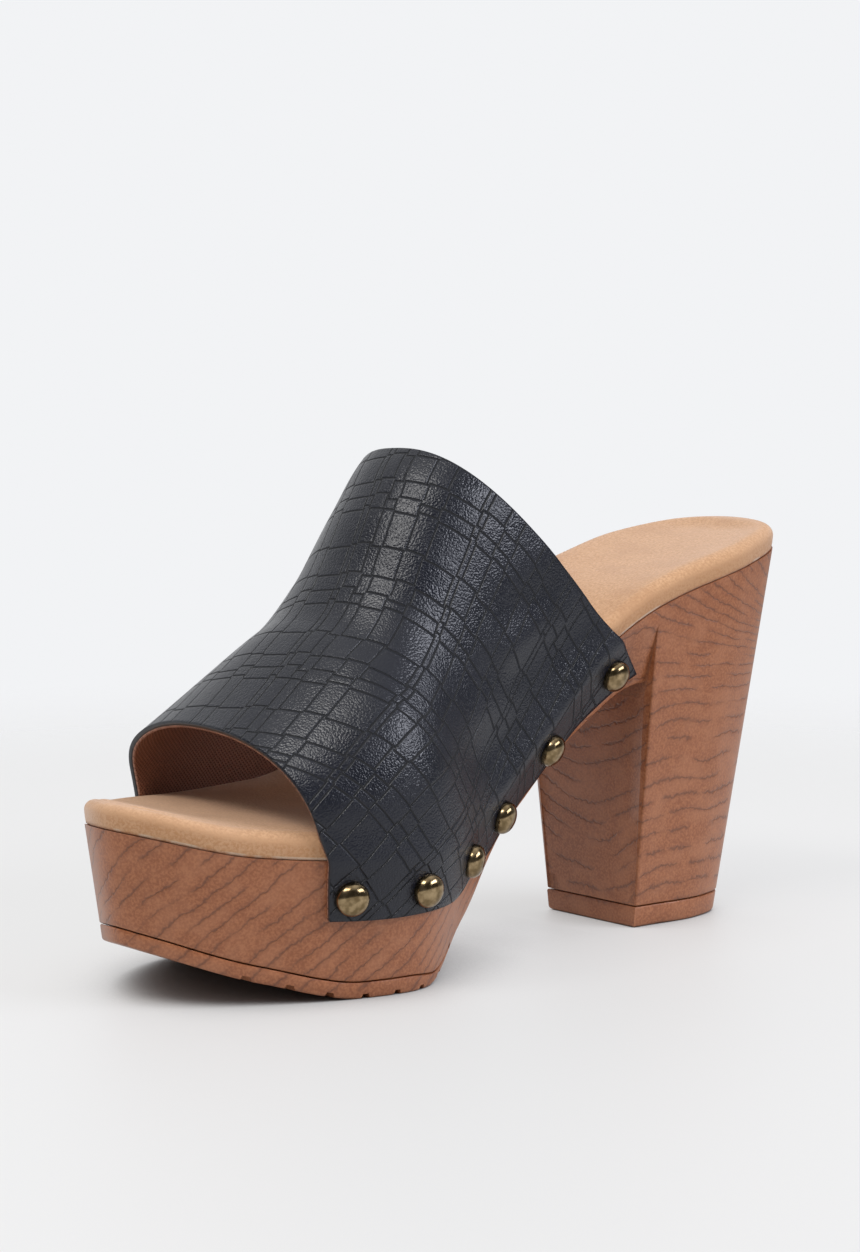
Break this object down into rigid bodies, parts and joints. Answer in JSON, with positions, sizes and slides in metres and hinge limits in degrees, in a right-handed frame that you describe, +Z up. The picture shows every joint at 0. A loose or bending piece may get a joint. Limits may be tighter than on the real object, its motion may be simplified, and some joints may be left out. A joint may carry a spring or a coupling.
{
  "type": "heeled clog",
  "caption": "Open-toed slip-on platform mule with a one-piece embossed upper tacked to a moulded wood-look sole with a block heel.",
  "frame": {"origin": "middle of the shoe's own box, on the floor", "axes": "+Z up, toe towards -Y, heel towards +Y, the foot's inner side towards +X"},
  "size_m": [0.0996, 0.2264, 0.1372],
  "materials": {
    "upper": "embossed satin, blue-black",
    "insole": "microsuede, camel",
    "sole": "moulded polyurethane with a printed wood grain, satin",
    "tread": "moulded tread and top piece, satin",
    "stud": "antique brass"
  },
  "bodies": {
    "root": {"sole_unit": "sole", "outsole": "tread", "heel_tip": "tread", "insole": "insole", "upper": "upper", "stud_medial_1": "stud", "stud_medial_2": "stud", "stud_medial_3": "stud", "stud_medial_4": "stud", "stud_medial_5": "stud", "stud_medial_6": "stud", "stud_lateral_1": "stud", "stud_lateral_2": "stud", "stud_lateral_3": "stud", "stud_lateral_4": "stud", "stud_lateral_5": "stud", "stud_lateral_6": "stud"}
  },
  "joints": []
}
